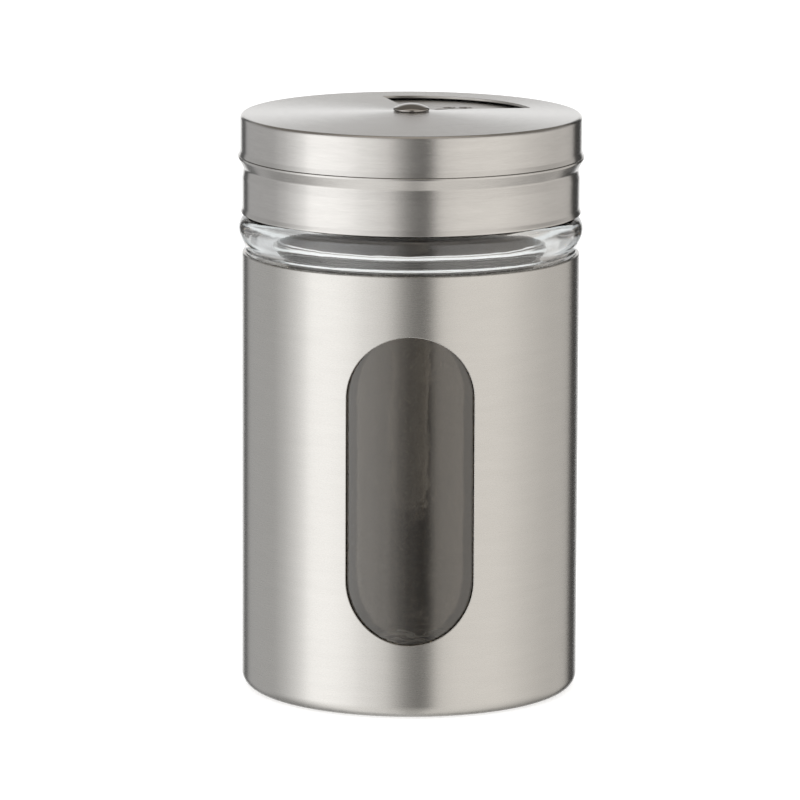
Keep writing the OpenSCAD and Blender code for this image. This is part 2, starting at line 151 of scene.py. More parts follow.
class Shell:
    def __init__(self):
        self.points, self.normals, self.faces = [], [], []

    def add(self, points, normals):
        """Adds vertices, and returns their numbers."""
        first = len(self.points)
        self.points += [tuple(map(float, p)) for p in points]
        self.normals += [tuple(map(float, n)) for n in normals]
        return list(range(first, len(self.points)))

    def bridge(self, a, b):
        """Band of quads between two closed loops that run anticlockwise seen from outside, b further along."""
        for i in range(len(a)):
            j = (i + 1) % len(a)
            self.faces.append((a[i], a[j], b[j], b[i]))

    def turned(self, path, columns, closed=False, skip=None):
        """Turns a path round the axis, and returns its loops."""
        angles = np.radians(np.arange(columns) * 360.0 / columns)
        cos, sin = np.cos(angles), np.sin(angles)
        loops = []
        for r, z, nr, nz in path:
            if r < 1e-9:
                loops.append(self.add([(0, 0, z)], [(0, 0, math.copysign(1, nz))]) * columns)
            else:
                loops.append(self.add(np.stack([r * cos, r * sin, np.full(columns, z)], 1),
                                      np.stack([nr * cos, nr * sin, np.full(columns, nz)], 1)))
        for i in range(len(loops) if closed else len(loops) - 1):
            a, b = loops[i], loops[(i + 1) % len(loops)]
            for j in range(columns):
                k = (j + 1) % columns
                if skip is None or not skip(i, j):
                    self.faces.append((a[j], a[k], b[k], b[j]))
        return loops

    def piece(self, name, material, body, slot, *nodes):
        """Makes the Blender object that stands for the CAD nodes."""
        faces = [tuple(dict.fromkeys(f)) for f in self.faces]
        me = bpy.data.meshes.new(name)
        me.from_pydata((np.array(self.points) * MM).tolist(), [], [f for f in faces if len(f) > 2])
        me.polygons.foreach_set("use_smooth", [True] * len(me.polygons))
        me.update()
        normals = np.array(self.normals)
        normals /= np.maximum(np.linalg.norm(normals, axis=1, keepdims=True), 1e-9)
        me.normals_split_custom_set_from_vertices(normals.tolist())
        me.materials.append(material)
        ob = bpy.data.objects.new(name, me)
        bpy.context.scene.collection.objects.link(ob)
        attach(ob, body)
        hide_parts(*nodes)
        return ob


def unit(angle):
    return np.array([math.cos(angle), math.sin(angle)])


def circle_edge(centre, radius, count):
    """Edge of a round hole, as a function from how far it is grown to its points and its outward directions."""
    ways = np.array([unit(2 * math.pi * k / count) for k in range(count)])
    return lambda out: (centre + (radius + out) * ways, ways)


def sector_edge(r_in, r_out, angle, direction, corner):
    """Edge of a hole between two radii and two radial sides, with rounded corners."""
    a0, a1 = math.radians(direction - angle / 2), math.radians(direction + angle / 2)
    low, high = r_in + corner, r_out - corner
    d_in, d_out = math.asin(corner / low), math.asin(corner / high)

    def at(out):
        points, ways = [], []

        def bend(centre, radius, n0, n1, count, way=1):
            for k in range(count):
                d = unit(n0 + (n1 - n0) * k / count)
                points.append(centre + radius * d)
                ways.append(way * d)

        def side(along, across, start, end):
            for k in range(30):
                points.append(out * unit(across) + (start + (end - start) * k / 30) * unit(along))
                ways.append(unit(across))

        bend(np.zeros(2), r_out + out, a0 + d_out, a1 - d_out, 90)
        bend(high * unit(a1 - d_out), corner + out, a1 - d_out, a1 + math.pi / 2, 8)
        side(a1, a1 + math.pi / 2, high * math.cos(d_out), low * math.cos(d_in))
        bend(low * unit(a1 - d_in), corner + out, a1 + math.pi / 2, a1 - d_in + math.pi, 8)
        bend(np.zeros(2), r_in - out, a1 - d_in, a0 + d_in, 20, -1)
        bend(low * unit(a0 + d_in), corner + out, a0 + d_in + math.pi, a0 + 1.5 * math.pi, 8)
        side(a0, a0 - math.pi / 2, low * math.cos(d_in), high * math.cos(d_out))
        bend(high * unit(a0 + d_out), corner + out, a0 - math.pi / 2, a0 + d_out, 8)
        return np.array(points), np.array(ways)

    return at


def inside_loop(points, loop):
    """Which points lie inside a closed loop."""
    inside = np.zeros(len(points), dtype=bool)
    x, y = points[:, 0], points[:, 1]
    for (x0, y0), (x1, y1) in zip(loop, np.roll(loop, -1, axis=0)):
        if y0 != y1:
            inside ^= ((y0 > y) != (y1 > y)) & (x < (x1 - x0) * (y - y0) / (y1 - y0) + x0)
    return inside


def pierced(shell, top_rim, low_rim, holes, face, edge):
    """Sheet with holes, between a rim loop on its top and one underneath.

    face(x, y, depth) gives a point of the sheet at that depth, and the sheet's normal there. edge is the radius of
    the softened edges of the holes.
    """
    tops, lows = [top_rim], [low_rim]
    rings = [(edge * (1 - math.sin(a)), edge * (1 - math.cos(a)), math.cos(a), math.sin(a)) for a in QUARTER]
    rings += [(out, SHEET - depth, -up, into) for out, depth, up, into in reversed(rings)]
    for hole in holes:
        loops = []
        for out, depth, up, into in rings:
            points, normals = [], []
            for (x, y), way in zip(*hole(out)):
                p, n = face(x, y, depth)
                points.append(p)
                normals.append(up * n - into * np.append(way, 0.0))
            loops.append(shell.add(points, normals))
        for a, b in zip(loops, loops[1:]):
            shell.bridge(a, b)
        tops.append(loops[0])
        lows.append(loops[-1])
    coords, edges = [], []
    for loop in tops:
        first, n = len(coords), len(loop)
        coords += [shell.points[i][:2] for i in loop]
        edges += [(first + i, first + (i + 1) % n) for i in range(n)]
    top, low = sum(tops, []), sum(lows, [])
    mesh = geometry.delaunay_2d_cdt(coords, edges, [], 0, 1e-7)
    at, tris, origin = np.array([tuple(v) for v in mesh[0]]), np.array(mesh[2]), mesh[3]
    middle = at[tris].mean(axis=1)
    loops = [np.array([shell.points[i][:2] for i in loop]) for loop in tops]
    keep = inside_loop(middle, loops[0])
    for loop in loops[1:]:
        keep &= ~inside_loop(middle, loop)
    for a, b, c in tris[keep]:
        u, v = at[b] - at[a], at[c] - at[a]
        if u[0] * v[1] - u[1] * v[0] < 0:
            b, c = c, b
        a, b, c = origin[a][0], origin[b][0], origin[c][0]
        shell.faces.append((top[a], top[b], top[c]))
        shell.faces.append((low[a], low[c], low[b]))


# ---------------------------------------------------------------------------------------------------------------
# Node helpers
# ---------------------------------------------------------------------------------------------------------------

class Tree:
    """Short calls for building a node tree."""

    def __init__(self, tree):
        self.nodes, self.links = tree.nodes, tree.links

    def node(self, kind, **settings):
        n = self.nodes.new(kind)
        for key, value in settings.items():
            setattr(n, key, value)
        return n

    def put(self, socket, value):
        if isinstance(value, bpy.types.NodeSocket):
            self.links.new(value, socket)
        else:
            socket.default_value = value

    def math(self, operation, *values):
        n = self.node("ShaderNodeMath", operation=operation)
        for i, v in enumerate(values):
            self.put(n.inputs[i], v)
        return n.outputs[0]

    def ramp(self, value, low, high, to_low=0.0, to_high=1.0, kind="LINEAR"):
        n = self.node("ShaderNodeMapRange", interpolation_type=kind, clamp=True)
        for i, v in enumerate((value, low, high, to_low, to_high)):
            self.put(n.inputs[i], v)
        return n.outputs[0]

    def mix(self, factor, a, b):
        n = self.node("ShaderNodeMix", data_type="RGBA")
        self.put(n.inputs[0], factor)
        self.put(n.inputs[6], a)
        self.put(n.inputs[7], b)
        return n.outputs[2]

    def noise(self, vector, scale, detail, roughness):
        n = self.node("ShaderNodeTexNoise")
        self.put(n.inputs["Vector"], vector)
        n.inputs["Scale"].default_value = scale
        n.inputs["Detail"].default_value = detail
        n.inputs["Roughness"].default_value = roughness
        return n.outputs["Fac"]

    def combine(self, x, y, z):
        n = self.node("ShaderNodeCombineXYZ")
        for i, v in enumerate((x, y, z)):
            self.put(n.inputs[i], v)
        return n.outputs[0]

    def tinted(self, colour, level):
        n = self.node("ShaderNodeVectorMath", operation="SCALE")
        self.put(n.inputs[0], colour)
        self.put(n.inputs["Scale"], level)
        return n.outputs[0]

    def bump(self, height, strength, distance):
        n = self.node("ShaderNodeBump")
        n.inputs["Strength"].default_value = strength
        n.inputs["Distance"].default_value = distance
        self.put(n.inputs["Height"], height)
        return n.outputs[0]

    def place(self):
        """Object position in millimetres: x, y, z, the radius r, and x / r and y / r."""
        s = self.node("ShaderNodeSeparateXYZ")
        self.links.new(self.node("ShaderNodeTexCoord").outputs["Object"], s.inputs[0])
        x, y, z = (self.math("MULTIPLY", s.outputs[i], 1000.0) for i in range(3))
        r = self.math("SQRT", self.math("ADD", self.math("MULTIPLY", x, x), self.math("MULTIPLY", y, y)))
        safe = self.math("MAXIMUM", r, 0.2)
        return x, y, z, r, self.math("DIVIDE", x, safe), self.math("DIVIDE", y, safe)


def new_material(name):
    m = bpy.data.materials.new(name)
    m.use_nodes = True
    t = Tree(m.node_tree)
    return m, t, t.nodes["Principled BSDF"]


# ---------------------------------------------------------------------------------------------------------------
# Materials
# ---------------------------------------------------------------------------------------------------------------

def brushed_steel(name, colour, roughness, anisotropy, mottle, spread, bump):
    """Steel brushed round its axis: fine scratches round each wall and in rings on each top.

    mottle and spread are how far the colour and the roughness vary, and bump is the scratches' depth in metres.
    """
    m, t, p = new_material(name)
    z, r, ux, uy = t.place()[2:]
    across = t.math("SUBTRACT", z, r)          # runs across the scratches, both up a wall and in over a top

    def scratches(turn, pitch, detail):
        return t.noise(t.combine(t.math("MULTIPLY", ux, turn), t.math("MULTIPLY", uy, turn),
                                 t.math("MULTIPLY", across, pitch)), 1.0, detail, 0.65)

    lines = t.math("ADD", t.math("MULTIPLY", scratches(14.0, 9.0, 3.0), 0.6),
                   t.math("MULTIPLY", scratches(5.0, 26.0, 2.0), 0.4))
    level = t.math("MULTIPLY", t.ramp(lines, 0.3, 0.7, 1.0 - mottle, 1.0 + mottle),
                   t.ramp(scratches(3.0, 0.9, 2.0), 0.3, 0.7, 1.0 - mottle / 2, 1.0 + mottle / 2))
    t.put(p.inputs["Base Color"], t.tinted(colour, level))
    t.put(p.inputs["Roughness"], t.ramp(lines, 0.28, 0.72, roughness * (1 - spread), roughness * (1 + spread)))
    p.inputs["Metallic"].default_value = 1.0
    t.put(p.inputs["Normal"], t.bump(lines, 0.35, bump))
    tangent = t.node("ShaderNodeTangent", direction_type="RADIAL", axis="Z")
    t.put(p.inputs["Tangent"], tangent.outputs[0])
    p.inputs["Anisotropic"].default_value = anisotropy
    p.inputs["Anisotropic Rotation"].default_value = 0.25
    return m


def turned_steel(name, colour, roughness):
    """Plain steel with faint tool marks: bright on small parts. Inside the sleeve it is rough, and its colour is
    darker and browner than the same sheet outside, which is painted shade.
    """
    m, t, p = new_material(name)
    x, y, z = t.place()[:3]
    marks = t.noise(t.combine(x, y, t.math("MULTIPLY", z, 3.0)), 3.0, 3.0, 0.6)
    t.put(p.inputs["Base Color"], t.tinted(colour, t.ramp(marks, 0.3, 0.7, 0.95, 1.04)))
    t.put(p.inputs["Roughness"], t.ramp(marks, 0.3, 0.7, roughness * 0.8, roughness * 1.25))
    p.inputs["Metallic"].default_value = 1.0
    return m


def pressed_glass(name):
    """Clear soda-lime glass with the slight waviness that the mould leaves.

    The front half of its outside has a coat with a stronger reflection, which is a painted reflection. Below the
    bead the glass's reflection is tinted warm, which is painted warm light. Both stand in for the light that the
    studio put into the window.
    """
    m, t, p = new_material(name)
    x, y, z, r = t.place()[:4]
    wave = t.noise(t.combine(x, y, t.math("MULTIPLY", z, 1.6)), 0.16, 2.0, 0.45)
    t.put(p.inputs["Normal"], t.bump(wave, 0.5, 0.0002))
    t.put(p.inputs["Base Color"], t.tinted((0.985, 0.988, 0.982), t.ramp(wave, 0.3, 0.7, 0.995, 1.005)))
    p.inputs["Roughness"].default_value = 0.0
    p.inputs["IOR"].default_value = 1.51
    p.inputs["Transmission Weight"].default_value = 1.0
    # Painted reflection: the coat, and with it the stronger reflection, covers only the front half of the outside.
    t.put(p.inputs["Coat Weight"], t.math("MULTIPLY", t.ramp(r, 23.6, 24.3), t.ramp(y, -8.0, 0.0, 1.0, 0.0)))
    p.inputs["Coat IOR"].default_value = 1.72
    p.inputs["Coat Roughness"].default_value = 0.0
    # Painted warm light: below the bead the reflection, and on the front the light under the coat, are tinted warm.
    warm = t.mix(t.ramp(z, 60.0, 64.0), (1.0, 0.962, 0.905, 1.0), (1.0, 1.0, 1.0, 1.0))
    t.put(p.inputs["Specular Tint"], warm)
    t.put(p.inputs["Coat Tint"], warm)
    return m


def moulded(name, colour, roughness, grain, depth, amount):
    """Plastic, foam or liner: a fine grain in its colour, gloss and height. depth is in metres."""
    m, t, p = new_material(name)
    x, y, z = t.place()[:3]
    spots = t.noise(t.combine(x, y, z), grain, 4.0, 0.6)
    t.put(p.inputs["Base Color"], t.tinted(colour, t.ramp(spots, 0.3, 0.7, 1.0 - amount, 1.0 + amount)))
    t.put(p.inputs["Roughness"], t.ramp(spots, 0.3, 0.7, roughness * 0.9, roughness * 1.1))
    t.put(p.inputs["Normal"], t.bump(spots, 0.6, depth))
    return m


SLEEVE_STEEL = brushed_steel("sleeve_steel", (0.600, 0.585, 0.560), roughness=0.27, anisotropy=0.95, mottle=0.03,
                             spread=0.14, bump=0.00002)
# Painted shade: the inside of the sleeve gets a much darker, browner colour than the same steel outside.
SHADED_INSIDE_STEEL = turned_steel("sleeve_inside_painted_shade", (0.36, 0.295, 0.215), 0.95)
CAP_STEEL = brushed_steel("cap_steel", (0.590, 0.575, 0.555), roughness=0.22, anisotropy=0.95, mottle=0.06,
                          spread=0.24, bump=0.00002)
RIVET_STEEL = turned_steel("rivet_steel", (0.42, 0.40, 0.38), 0.05)
WASHER_STEEL = turned_steel("washer_steel", (0.48, 0.47, 0.46), 0.28)
GLASS = pressed_glass("jar_glass")
RING_PLASTIC = moulded("ring_plastic", (0.27, 0.255, 0.235), 0.42, grain=2.0, depth=0.00003, amount=0.06)
SEAL_FOAM = moulded("seal_foam", (0.80, 0.80, 0.77), 0.7, grain=5.0, depth=0.00008, amount=0.06)
PAD_FOAM = moulded("pad_foam", (0.80, 0.80, 0.78), 0.9, grain=6.0, depth=0.00012, amount=0.08)


# ---------------------------------------------------------------------------------------------------------------
# Steel sleeve
# ---------------------------------------------------------------------------------------------------------------

def window_edge(u, z, out):
    """Point of the window's edge, grown by out, nearest a point of the wall, and its outward direction."""
    half = WINDOW_W / 2 + out
    low, high = WINDOW_Z + WINDOW_W / 2, WINDOW_Z + WINDOW_H - WINDOW_W / 2
    if low <= z <= high:
        side = math.copysign(1.0, u)
        return half * side, z, side, 0.0
    centre = low if z < low else high
    a = math.atan2(z - centre, u)
    return half * math.cos(a), centre + half * math.sin(a), math.cos(a), math.sin(a)


def steel_sleeve():
    """Cup turned round the axis. A patch of its wall is left out, and is made in rings round the window."""
    s = Shell()
    r_in, rim_in = SLEEVE_R - SHEET, SLEEVE_R - 0.6
    bend = SHEET * math.tan(math.radians(22.5))
    heights = [PATCH_LOW + (PATCH_HIGH - PATCH_LOW) * k / PATCH_ROWS for k in range(PATCH_ROWS + 1)]
    outside = outline([(0, PANEL_H), (PANEL_R, PANEL_H, 0.5), (PANEL_R + PANEL_H, 0, 0.5), (SLEEVE_R, 0, 2.0),
                       (SLEEVE_R, PATCH_LOW)])[:-1]
    wall = [(SLEEVE_R, z, 1.0, 0.0) for z in heights]
    rim = outline([(SLEEVE_R, PATCH_HIGH), (SLEEVE_R, SLEEVE_H, 0.32), (rim_in, SLEEVE_H, 0.1),
                   (rim_in, SLEEVE_H - SHEET, 0.1), (r_in, SLEEVE_H - SHEET, 0.1), (r_in, PATCH_HIGH)])[1:-1]
    back = [(r_in, z, -1.0, 0.0) for z in reversed(heights)]
    inside = outline([(r_in, PATCH_LOW), (r_in, SHEET, 1.6), (PANEL_R + PANEL_H + bend, SHEET, 0.5),
                      (PANEL_R + bend, PANEL_H + SHEET, 0.5), (0, PANEL_H + SHEET)])[1:]
    first_out = len(outside)
    first_in = len(outside) + len(wall) + len(rim)
    c0, c1 = PATCH_COLUMNS

    def skip(i, j):
        return (0 <= i - first_out < PATCH_ROWS or 0 <= i - first_in < PATCH_ROWS) and c0 <= j < c1

    loops = s.turned(outside + wall + rim + back + inside, TURNED, skip=skip)

    def boundary(rows):
        return rows[0][c0:c1] + [q[c1] for q in rows[:-1]] + rows[-1][c1:c0:-1] + [q[c0] for q in rows[:0:-1]]

    outer = boundary(loops[first_out:first_out + PATCH_ROWS + 1])
    inner = boundary(loops[first_in:first_in + PATCH_ROWS + 1][::-1])
    flat = [(SLEEVE_R * math.atan2(s.points[i][0], -s.points[i][1]), s.points[i][2]) for i in outer]

    def ring(radius, out, part, face, hole):
        """Loop round the window. part runs from 0 at its edge to 1 at the patch's boundary."""
        points, normals = [], []
        for u, z in flat:
            ex, ez, du, dz = window_edge(u, z, out)
            eu = SLEEVE_R * math.asin(ex / radius)
            a = (eu + (u - eu) * part) / SLEEVE_R
            points.append((radius * math.sin(a), -radius * math.cos(a), ez + (z - ez) * part))
            normals.append(face * np.array([math.sin(a), -math.cos(a), 0.0]) - hole * np.array([du, 0.0, dz]))
        return s.add(points, normals)

    parts = (0.8, 0.62, 0.46, 0.32, 0.2, 0.11, 0.045)
    rings = [outer] + [ring(SLEEVE_R, WINDOW_EDGE, k, 1.0, 0.0) for k in parts]
    bends = [(WINDOW_EDGE * (1 - math.cos(a)), WINDOW_EDGE * (1 - math.sin(a)), math.cos(a), math.sin(a))
             for a in QUARTER]
    rings += [ring(SLEEVE_R - depth, out, 0.0, face, hole) for depth, out, face, hole in bends]
    rings += [ring(r_in + depth, out, 0.0, -face, hole) for depth, out, face, hole in reversed(bends)]
    rings += [ring(r_in, WINDOW_EDGE, k, -1.0, 0.0) for k in reversed(parts)] + [inner]
    for a, b in zip(rings, rings[1:]):
        s.bridge(a, b)
    ob = s.piece("sleeve_shell", SLEEVE_STEEL, "jar", "sleeve_steel", "steel_sleeve")
    # The inner wall and the inner floor take the darker steel, which is the painted shade inside the sleeve.
    ob.data.materials.append(SHADED_INSIDE_STEEL)
    for face in ob.data.polygons:
        x, y, z = face.center
        r = max(math.hypot(x, y), 1e-6)
        inward = -(face.normal.x * x + face.normal.y * y) / r
        inner_wall = inward > 0.5 and 20.0 * MM < r < (r_in + 0.05) * MM
        inner_floor = face.normal.z > 0.3 and z < 3.0 * MM
        if inner_wall or inner_floor:
            face.material_index = 1
    return ob


# ---------------------------------------------------------------------------------------------------------------
# Glass jar and thread ring
# ---------------------------------------------------------------------------------------------------------------

def cut_thread(shell, loops, wall_r, sign, low, start, root, crest):
    """Moves the loops of a straight wall out into a thread. sign is 1 on the outside of a neck, -1 in a bore.

    The thread starts at height low and angle start, and root and crest are its widths. It runs out over RUN_OUT
    degrees at each end.
    """
    numbers = np.array(loops)
    points = np.array(shell.points)[numbers]
    angle, z = np.arctan2(points[..., 1], points[..., 0]), points[..., 2]
    height = np.zeros_like(z)
    for k in range(3):
        run = (np.degrees(angle) - start) % 360.0 + 360.0 * k
        ends = np.clip(np.minimum(run, 360.0 * TURNS - run) / RUN_OUT, 0.0, 1.0)
        off = np.abs(z - low - PITCH * run / 360.0)
        t = np.clip((root / 2 - off) / ((root - crest) / 2), 0.0, 1.0)
        height = np.maximum(height, t * t * (3 - 2 * t) * ends)
    r = wall_r + sign * THREAD_DEPTH * height
    by_angle = (np.roll(r, -1, axis=1) - np.roll(r, 1, axis=1)) * r.shape[1] / (4 * math.pi)
    by_height = np.gradient(r, axis=0) / np.gradient(z, axis=0)
    c, w = np.cos(angle), np.sin(angle)
    a = -by_angle / r
    normals = sign * np.stack([c - a * w, w + a * c, -by_height], -1)
    places = np.stack([r * c, r * w, z], -1)
    for i, p, n in zip(numbers.ravel(), places.reshape(-1, 3).tolist(), normals.reshape(-1, 3).tolist()):
        shell.points[i], shell.normals[i] = tuple(p), tuple(n)


def glass_jar():
    """Jar as one closed path: hollow underneath, heel, body, waist, bead, neck, lip, bore and floor."""
    s = Shell()
    dome_r = (PUNT_R ** 2 + PUNT_H ** 2) / (2 * PUNT_H)
    low_c, waist_c = BEAD_OUT - BEAD_LOW, WAIST_R + WAIST_BEND
    lean = math.acos((waist_c - low_c) / (BEAD_LOW + WAIST_BEND))
    waist_z, lean = BEAD_Z - (BEAD_LOW + WAIST_BEND) * math.sin(lean), math.degrees(lean)
    path = arc(0, GLASS_Z + PUNT_H - dome_r, dome_r, 90, 90 - math.degrees(math.asin(PUNT_R / dome_r)), 0.5, -1.0)
    path[0] = (0, GLASS_Z + PUNT_H, 0.0, -1.0)
    path += [(PUNT_R + 0.4, GLASS_Z, 0.0, -1.0)] + arc(BODY_R - HEEL_R, GLASS_Z + HEEL_R, HEEL_R, -90, 0, 6)
    path += [(BODY_R, waist_z - WAIST_H, 1.0, 0.0)]
    waist = arc(waist_c, waist_z, WAIST_BEND, 180, 180 - lean, 3, -1.0)
    path += blend(path[-1], waist[0], 9) + waist + arc(low_c, BEAD_Z, BEAD_LOW, -lean, 0, 2)[1:]
    path += arc(BEAD_OUT - BEAD_TOP, BEAD_Z, BEAD_TOP, 0, 90, 4)[1:]
    path += outline([path[-1][:2], (NECK_R, SHOULDER_Z, 0.8), (NECK_R, NECK_TOP)], 12)[1:-1]
    margin, rows, bends = 0.9, 62, 40          # plain ends of the neck, rows of its thread and of the bore's swell
    first, last = len(path), len(path) + rows + 1
    path += [(NECK_R, SHOULDER_Z + margin + (NECK_TOP - SHOULDER_Z - 2 * margin) * k / rows, 1.0, 0.0)
             for k in range(rows + 1)]
    path += outline([(NECK_R, 82.0), (NECK_R, NECK_TOP, LIP_R), (MOUTH_R, NECK_TOP, LIP_R), (MOUTH_R, 82.0)],
                    10)[1:-1]
    top, bottom = BEAD_Z - BORE_DROP, BEAD_Z - BORE_DROP - BORE_SWELL
    for k in range(bends + 1):
        t = math.pi * k / bends
        n = np.array([bottom - top, (MOUTH_R - CAVITY_R) * math.pi * math.sin(t) / 2])
        n /= np.linalg.norm(n)
        swell = (CAVITY_R - MOUTH_R) * (1 - math.cos(t)) / 2
        path.append((MOUTH_R + swell, top + (bottom - top) * k / bends, *n))
    path += outline([(CAVITY_R, 20.0), (CAVITY_R, FLOOR_Z, FLOOR_CORNER), (0, FLOOR_Z)], 5)[1:]
    loops = s.turned(path, MOULDED)
    cut_thread(s, loops[first:last], NECK_R, 1.0, THREAD_Z, 0.0, root=1.56, crest=0.8)
    return s.piece("jar_glass", GLASS, "jar", "jar_glass", "glass_jar")


def thread_ring():
    """Ring as one closed path, from its lower rim up outside, over the flange and down the thread in its bore."""
    s = Shell()
    low, step, chamfer, rows = RING_LOW, GROOVE_Z - SHEET, 1.0, 64
    path = outline([(RING_BORE, 80.0), (RING_BORE, low, 0.2), (RING_LOWER, low, 0.2), (RING_LOWER, step, 0.15),
                    (RING_UPPER, step, 0.05), (RING_UPPER, PLATE_UNDER - chamfer, 0.2),
                    (RING_UPPER - chamfer, PLATE_UNDER, 0.2), (FLANGE_R, PLATE_UNDER, 0.15),
                    (FLANGE_R, FLANGE_Z, 0.15), (RING_BORE, FLANGE_Z, 0.3), (RING_BORE, 80.0)])[1:-1]
    first = len(path)
    path += [(RING_BORE, FLANGE_Z - 0.35 + (low + 0.6 - FLANGE_Z) * k / rows, -1.0, 0.0) for k in range(rows + 1)]
    loops = s.turned(path, MOULDED, closed=True)
    cut_thread(s, loops[first:], RING_BORE, -1.0, THREAD_Z - PITCH / 4, 90.0, root=1.25, crest=0.8)
    return s.piece("ring_plastic", RING_PLASTIC, "lid", "ring_plastic", "thread_ring")


# ---------------------------------------------------------------------------------------------------------------
# Caps
# ---------------------------------------------------------------------------------------------------------------

def sifter_cap():
    """Cap turned from its inside, round the flared hem of its skirt and up its outside, with its pierced plate."""
    s = Shell()
    plate_r = 20.0
    inside = [(plate_r, PLATE_UNDER), (UPPER_R - SHEET, PLATE_UNDER, 0.6), (UPPER_R - SHEET, LEDGE_Z - SHEET, 0.2),
              (LEDGE_R - 0.6, LEDGE_Z - SHEET, 0.2), (GROOVE_R - SHEET, GROOVE_Z, 0.2), (24.7, 78.1, 0.3),
              (SKIRT_R - SHEET, 74.0, 1.0)]
    hem = [(25.0, SKIRT_Z, 0.05), (25.4, SKIRT_Z, 0.1), (25.38, SKIRT_Z + 0.25, 0.2),
           (SKIRT_R, SKIRT_Z + 0.8, 0.7)]
    groove = [(SKIRT_R, 77.3, 1.5), (24.97, 78.72, 0.6)]
    ledge = [(LEDGE_R, LEDGE_Z - 0.3, 0.3), (LEDGE_R - 0.04, LEDGE_Z, 0.12), (UPPER_R, LEDGE_Z, 0.12)]
    path = outline(inside + hem + groove + ledge + [(UPPER_R, PLATE_TOP, 1.0), (plate_r, PLATE_TOP)])
    loops = s.turned(path, TURNED)
    holes = [circle_edge(np.zeros(2), HOLE_R, 64)]
    fine = [(0.0, 0)] + [(FINE_PITCH, 10 + 60 * k) for k in range(6)]
    coarse = [(COARSE_PITCH / math.sqrt(3), 120 * k) for k in range(3)]
    for turn, places, d in ((HOLES_DIR, fine, FINE_D), (HOLES_DIR + 90, coarse, COARSE_D)):
        for reach, way in places:
            centre = HOLES_R * unit(math.radians(turn)) + reach * unit(math.radians(turn + way))
            holes.append(circle_edge(centre, d / 2, 48))
    holes.append(sector_edge(POUR_IN, POUR_OUT, POUR_ANGLE, HOLES_DIR + 180, 0.5))

    def face(x, y, depth):
        return (x, y, PLATE_TOP - depth), np.array([0.0, 0.0, 1.0])

    pierced(s, loops[-1], loops[0], holes, face, edge=0.06)
    return s.piece("sifter_shell", CAP_STEEL, "lid", "cap_steel", "sifter_cap")


def dial_cap():
    """Dial with a slightly crowned top. Its hem flares out over the ledge of the sifter cap."""
    s = Shell()
    crown_r = (DIAL_R ** 2 + CROWN ** 2) / (2 * CROWN)
    corner, hem = 0.6, DIAL_Z - 0.11
    corner_c = DIAL_R - corner
    centre_z = DIAL_TOP - crown_r
    corner_z = centre_z + math.sqrt((crown_r - corner) ** 2 - corner_c ** 2)
    tilt = math.degrees(math.asin(corner_c / (crown_r - corner)))
    path = arc(corner_c, corner_z, corner - SHEET, 90 - tilt, 0, 12, -1.0)
    path += outline([(DIAL_R - SHEET, 84.0), (DIAL_R - SHEET, hem + 0.9, 1.0), (25.3, hem, 0.06),
                     (25.7, hem, 0.06), (DIAL_R, hem + 0.75, 0.9), (DIAL_R, 84.0)])[1:-1]
    path += arc(corner_c, corner_z, corner, 0, 90 - tilt, 7)
    loops = s.turned(path, TURNED)

    def face(x, y, depth):
        n = np.array([x, y, math.sqrt((crown_r - depth) ** 2 - x * x - y * y)])
        return n + np.array([0.0, 0.0, centre_z]), n / np.linalg.norm(n)

    holes = [circle_edge(np.zeros(2), HOLE_R, 64), sector_edge(OPEN_IN, OPEN_OUT, OPEN_ANGLE, OPEN_DIR, 0.35)]
    pierced(s, loops[-1], loops[0], holes, face, edge=0.11)
    return s.piece("dial_shell", CAP_STEEL, "dial", "cap_steel", "dial_cap")


# ---------------------------------------------------------------------------------------------------------------
# Rivet, washers, seal and foam ring
# ---------------------------------------------------------------------------------------------------------------

def rivet():
    s = Shell()
    dome_r = (HEAD_R ** 2 + DOME_H ** 2) / (2 * DOME_H)
    angle = math.degrees(math.asin(HEAD_R / dome_r))
    tail = PLATE_UNDER - 0.5
    path = outline([(0, tail), (0.75, tail, 0.05), (0.75, tail - 0.4, 0.1), (0.95, tail - 0.8, 0.1),
                    (1.9, tail - 0.8, 0.25), (2.28, tail - 0.4, 0.25), (2.1, tail, 0.05), (SHANK_R, tail, 0.03),
                    (SHANK_R, HEAD_Z, 0.03), (HEAD_R, HEAD_Z, 0.12), (HEAD_R, HEAD_Z + 0.3)])
    rise = HEAD_Z + EDGE_H
    dome = arc(0, rise + DOME_H - dome_r, dome_r, 90 - angle + 4, 90, 1.5)
    path[-1] = (HEAD_R, rise - 0.15, 1.0, 0.0)
    path += blend(path[-1], dome[0], 8) + dome
    path[-1] = (0, rise + DOME_H, 0.0, 1.0)
    s.turned(path, SMALL)
    return s.piece("rivet_head", RIVET_STEEL, "lid", "rivet_steel", "rivet")


def plain_ring(name, corners, columns, *finish):
    """Small ring turned from a section with rounded corners, which are in anticlockwise order."""
    s = Shell()
    start = tuple((a + b) / 2 for a, b in zip(corners[-1][:2], corners[0][:2]))
    s.turned(outline([start] + list(corners) + [start])[1:-1], columns, closed=True)
    return s.piece(name, *finish)


